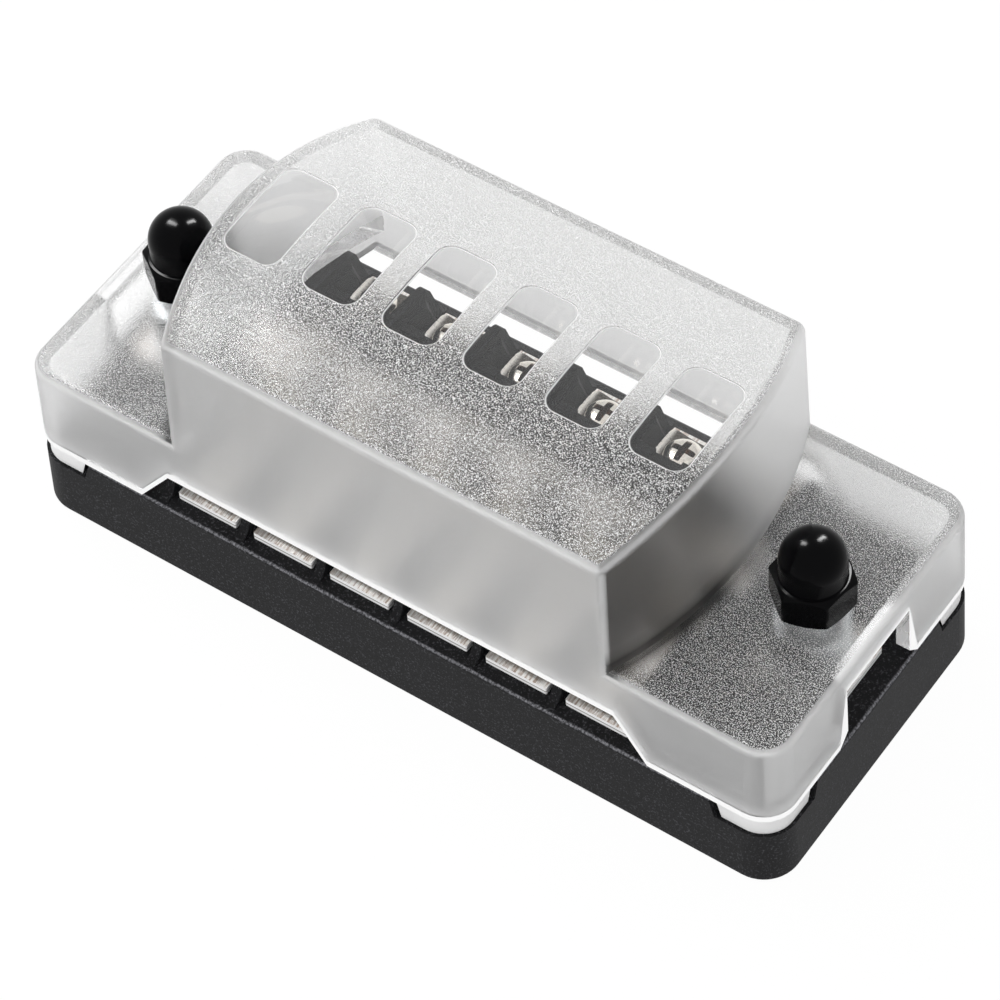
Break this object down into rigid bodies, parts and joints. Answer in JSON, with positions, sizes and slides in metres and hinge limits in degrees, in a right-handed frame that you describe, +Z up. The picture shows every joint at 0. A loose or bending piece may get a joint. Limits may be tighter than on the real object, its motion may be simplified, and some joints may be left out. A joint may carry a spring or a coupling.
{
  "type": "blade fuse box",
  "caption": "Low black base with rows of screw terminals under a frosted cover whose raised block has clear windows over the fuse sockets, held by two domed cap nuts.",
  "frame": {"origin": "middle of the base's underside", "axes": "+X along the box towards the return stud, +Y to the back row with the barrier wall, +Z up to the windows"},
  "size_m": [0.12, 0.05, 0.0515],
  "materials": {
    "black_moulding": "moulded black thermoplastic, fine matte texture",
    "frosted_cover": "frosted clear polycarbonate with six polished clear windows",
    "plated_strip": "tin plated brass strip, rolled grain",
    "clip_spring_sheet": "tin plated spring bronze sheet",
    "nickel_screw": "nickel plated steel",
    "nickel_clamp": "nickel plated steel, pressed",
    "black_cap_nut": "black coated steel, satin gloss",
    "zinc_hardware": "bright zinc plated steel"
  },
  "bodies": {
    "base_body": {"base": "black_moulding", "positive_bus_bar": "plated_strip", "negative_bus_bar": "plated_strip", "stud_left": "zinc_hardware", "stud_right": "zinc_hardware", "output_plate_1": "plated_strip", "output_plate_2": "plated_strip", "output_plate_3": "plated_strip", "output_plate_4": "plated_strip", "output_plate_5": "plated_strip", "output_plate_6": "plated_strip", "fuse_clip_out_1": "clip_spring_sheet", "fuse_clip_out_2": "clip_spring_sheet", "fuse_clip_out_3": "clip_spring_sheet", "fuse_clip_out_4": "clip_spring_sheet", "fuse_clip_out_5": "clip_spring_sheet", "fuse_clip_out_6": "clip_spring_sheet", "fuse_clip_feed_1": "clip_spring_sheet", "fuse_clip_feed_2": "clip_spring_sheet", "fuse_clip_feed_3": "clip_spring_sheet", "fuse_clip_feed_4": "clip_spring_sheet", "fuse_clip_feed_5": "clip_spring_sheet", "fuse_clip_feed_6": "clip_spring_sheet"},
    "cover": {"cover": "frosted_cover"},
    "cap_nut_left": {"cap_nut_left": "black_cap_nut"},
    "cap_nut_right": {"cap_nut_right": "black_cap_nut"},
    "washers_left": {"stud_washer_left": "zinc_hardware", "lock_washer_left": "zinc_hardware"},
    "stud_nut_left": {"stud_nut_left": "zinc_hardware"},
    "washers_right": {"stud_washer_right": "zinc_hardware", "lock_washer_right": "zinc_hardware"},
    "stud_nut_right": {"stud_nut_right": "zinc_hardware"},
    "output_clamp_1": {"output_clamp_1": "nickel_clamp"},
    "output_screw_1": {"output_screw_1": "nickel_screw"},
    "output_clamp_2": {"output_clamp_2": "nickel_clamp"},
    "output_screw_2": {"output_screw_2": "nickel_screw"},
    "output_clamp_3": {"output_clamp_3": "nickel_clamp"},
    "output_screw_3": {"output_screw_3": "nickel_screw"},
    "output_clamp_4": {"output_clamp_4": "nickel_clamp"},
    "output_screw_4": {"output_screw_4": "nickel_screw"},
    "output_clamp_5": {"output_clamp_5": "nickel_clamp"},
    "output_screw_5": {"output_screw_5": "nickel_screw"},
    "output_clamp_6": {"output_clamp_6": "nickel_clamp"},
    "output_screw_6": {"output_screw_6": "nickel_screw"},
    "negative_clamp_1": {"negative_clamp_1": "nickel_clamp"},
    "negative_screw_1": {"negative_screw_1": "nickel_screw"},
    "negative_clamp_2": {"negative_clamp_2": "nickel_clamp"},
    "negative_screw_2": {"negative_screw_2": "nickel_screw"},
    "negative_clamp_3": {"negative_clamp_3": "nickel_clamp"},
    "negative_screw_3": {"negative_screw_3": "nickel_screw"},
    "negative_clamp_4": {"negative_clamp_4": "nickel_clamp"},
    "negative_screw_4": {"negative_screw_4": "nickel_screw"},
    "negative_clamp_5": {"negative_clamp_5": "nickel_clamp"},
    "negative_screw_5": {"negative_screw_5": "nickel_screw"},
    "negative_clamp_6": {"negative_clamp_6": "nickel_clamp"},
    "negative_screw_6": {"negative_screw_6": "nickel_screw"}
  },
  "joints": [
    {"name": "cover_lift", "type": "slide", "parent": "base_body", "child": "cover", "axis": [0, 0, 1], "range_m": [0, 0.045]},
    {"name": "cap_nut_left_turn", "type": "hinge", "parent": "cover", "child": "cap_nut_left", "pos_m": [-0.0495, 0, 0.0276], "axis": [0, 0, 1], "continuous": true},
    {"name": "cap_nut_right_turn", "type": "hinge", "parent": "cover", "child": "cap_nut_right", "pos_m": [0.0495, 0, 0.0276], "axis": [0, 0, 1], "continuous": true},
    {"name": "washers_left_rise", "type": "slide", "parent": "base_body", "child": "washers_left", "axis": [0, 0, 1], "range_m": [0, 0.002]},
    {"name": "stud_nut_left_turn", "type": "hinge", "parent": "washers_left", "child": "stud_nut_left", "pos_m": [-0.0495, 0, 0.0174], "axis": [0, 0, 1], "range_deg": [0, 720]},
    {"name": "washers_right_rise", "type": "slide", "parent": "base_body", "child": "washers_right", "axis": [0, 0, 1], "range_m": [0, 0.002]},
    {"name": "stud_nut_right_turn", "type": "hinge", "parent": "washers_right", "child": "stud_nut_right", "pos_m": [0.0495, 0, 0.0174], "axis": [0, 0, 1], "range_deg": [0, 720]},
    {"name": "output_clamp_1_rise", "type": "slide", "parent": "base_body", "child": "output_clamp_1", "axis": [0, 0, 1], "range_m": [0, 0.002]},
    {"name": "output_screw_1_turn", "type": "hinge", "parent": "output_clamp_1", "child": "output_screw_1", "pos_m": [-0.03112, -0.0172, 0.0155], "axis": [0, 0, 1], "range_deg": [0, 1440]},
    {"name": "output_clamp_2_rise", "type": "slide", "parent": "base_body", "child": "output_clamp_2", "axis": [0, 0, 1], "range_m": [0, 0.002]},
    {"name": "output_screw_2_turn", "type": "hinge", "parent": "output_clamp_2", "child": "output_screw_2", "pos_m": [-0.01867, -0.0172, 0.0155], "axis": [0, 0, 1], "range_deg": [0, 1440]},
    {"name": "output_clamp_3_rise", "type": "slide", "parent": "base_body", "child": "output_clamp_3", "axis": [0, 0, 1], "range_m": [0, 0.002]},
    {"name": "output_screw_3_turn", "type": "hinge", "parent": "output_clamp_3", "child": "output_screw_3", "pos_m": [-0.00622, -0.0172, 0.0155], "axis": [0, 0, 1], "range_deg": [0, 1440]},
    {"name": "output_clamp_4_rise", "type": "slide", "parent": "base_body", "child": "output_clamp_4", "axis": [0, 0, 1], "range_m": [0, 0.002]},
    {"name": "output_screw_4_turn", "type": "hinge", "parent": "output_clamp_4", "child": "output_screw_4", "pos_m": [0.00622, -0.0172, 0.0155], "axis": [0, 0, 1], "range_deg": [0, 1440]},
    {"name": "output_clamp_5_rise", "type": "slide", "parent": "base_body", "child": "output_clamp_5", "axis": [0, 0, 1], "range_m": [0, 0.002]},
    {"name": "output_screw_5_turn", "type": "hinge", "parent": "output_clamp_5", "child": "output_screw_5", "pos_m": [0.01867, -0.0172, 0.0155], "axis": [0, 0, 1], "range_deg": [0, 1440]},
    {"name": "output_clamp_6_rise", "type": "slide", "parent": "base_body", "child": "output_clamp_6", "axis": [0, 0, 1], "range_m": [0, 0.002]},
    {"name": "output_screw_6_turn", "type": "hinge", "parent": "output_clamp_6", "child": "output_screw_6", "pos_m": [0.03112, -0.0172, 0.0155], "axis": [0, 0, 1], "range_deg": [0, 1440]},
    {"name": "negative_clamp_1_rise", "type": "slide", "parent": "base_body", "child": "negative_clamp_1", "axis": [0, 0, 1], "range_m": [0, 0.002]},
    {"name": "negative_screw_1_turn", "type": "hinge", "parent": "negative_clamp_1", "child": "negative_screw_1", "pos_m": [-0.03112, 0.0172, 0.0155], "axis": [0, 0, 1], "range_deg": [0, 1440]},
    {"name": "negative_clamp_2_rise", "type": "slide", "parent": "base_body", "child": "negative_clamp_2", "axis": [0, 0, 1], "range_m": [0, 0.002]},
    {"name": "negative_screw_2_turn", "type": "hinge", "parent": "negative_clamp_2", "child": "negative_screw_2", "pos_m": [-0.01867, 0.0172, 0.0155], "axis": [0, 0, 1], "range_deg": [0, 1440]},
    {"name": "negative_clamp_3_rise", "type": "slide", "parent": "base_body", "child": "negative_clamp_3", "axis": [0, 0, 1], "range_m": [0, 0.002]},
    {"name": "negative_screw_3_turn", "type": "hinge", "parent": "negative_clamp_3", "child": "negative_screw_3", "pos_m": [-0.00622, 0.0172, 0.0155], "axis": [0, 0, 1], "range_deg": [0, 1440]},
    {"name": "negative_clamp_4_rise", "type": "slide", "parent": "base_body", "child": "negative_clamp_4", "axis": [0, 0, 1], "range_m": [0, 0.002]},
    {"name": "negative_screw_4_turn", "type": "hinge", "parent": "negative_clamp_4", "child": "negative_screw_4", "pos_m": [0.00622, 0.0172, 0.0155], "axis": [0, 0, 1], "range_deg": [0, 1440]},
    {"name": "negative_clamp_5_rise", "type": "slide", "parent": "base_body", "child": "negative_clamp_5", "axis": [0, 0, 1], "range_m": [0, 0.002]},
    {"name": "negative_screw_5_turn", "type": "hinge", "parent": "negative_clamp_5", "child": "negative_screw_5", "pos_m": [0.01867, 0.0172, 0.0155], "axis": [0, 0, 1], "range_deg": [0, 1440]},
    {"name": "negative_clamp_6_rise", "type": "slide", "parent": "base_body", "child": "negative_clamp_6", "axis": [0, 0, 1], "range_m": [0, 0.002]},
    {"name": "negative_screw_6_turn", "type": "hinge", "parent": "negative_clamp_6", "child": "negative_screw_6", "pos_m": [0.03112, 0.0172, 0.0155], "axis": [0, 0, 1], "range_deg": [0, 1440]}
  ],
  "couplings": [
    {"joint": "stud_nut_left_turn", "follows": "washers_left_rise", "rad_per_m": 6283.2},
    {"joint": "stud_nut_right_turn", "follows": "washers_right_rise", "rad_per_m": 6283.2},
    {"joint": "output_screw_1_turn", "follows": "output_clamp_1_rise", "rad_per_m": 12566},
    {"joint": "output_screw_2_turn", "follows": "output_clamp_2_rise", "rad_per_m": 12566},
    {"joint": "output_screw_3_turn", "follows": "output_clamp_3_rise", "rad_per_m": 12566},
    {"joint": "output_screw_4_turn", "follows": "output_clamp_4_rise", "rad_per_m": 12566},
    {"joint": "output_screw_5_turn", "follows": "output_clamp_5_rise", "rad_per_m": 12566},
    {"joint": "output_screw_6_turn", "follows": "output_clamp_6_rise", "rad_per_m": 12566},
    {"joint": "negative_screw_1_turn", "follows": "negative_clamp_1_rise", "rad_per_m": 12566},
    {"joint": "negative_screw_2_turn", "follows": "negative_clamp_2_rise", "rad_per_m": 12566},
    {"joint": "negative_screw_3_turn", "follows": "negative_clamp_3_rise", "rad_per_m": 12566},
    {"joint": "negative_screw_4_turn", "follows": "negative_clamp_4_rise", "rad_per_m": 12566},
    {"joint": "negative_screw_5_turn", "follows": "negative_clamp_5_rise", "rad_per_m": 12566},
    {"joint": "negative_screw_6_turn", "follows": "negative_clamp_6_rise", "rad_per_m": 12566}
  ]
}
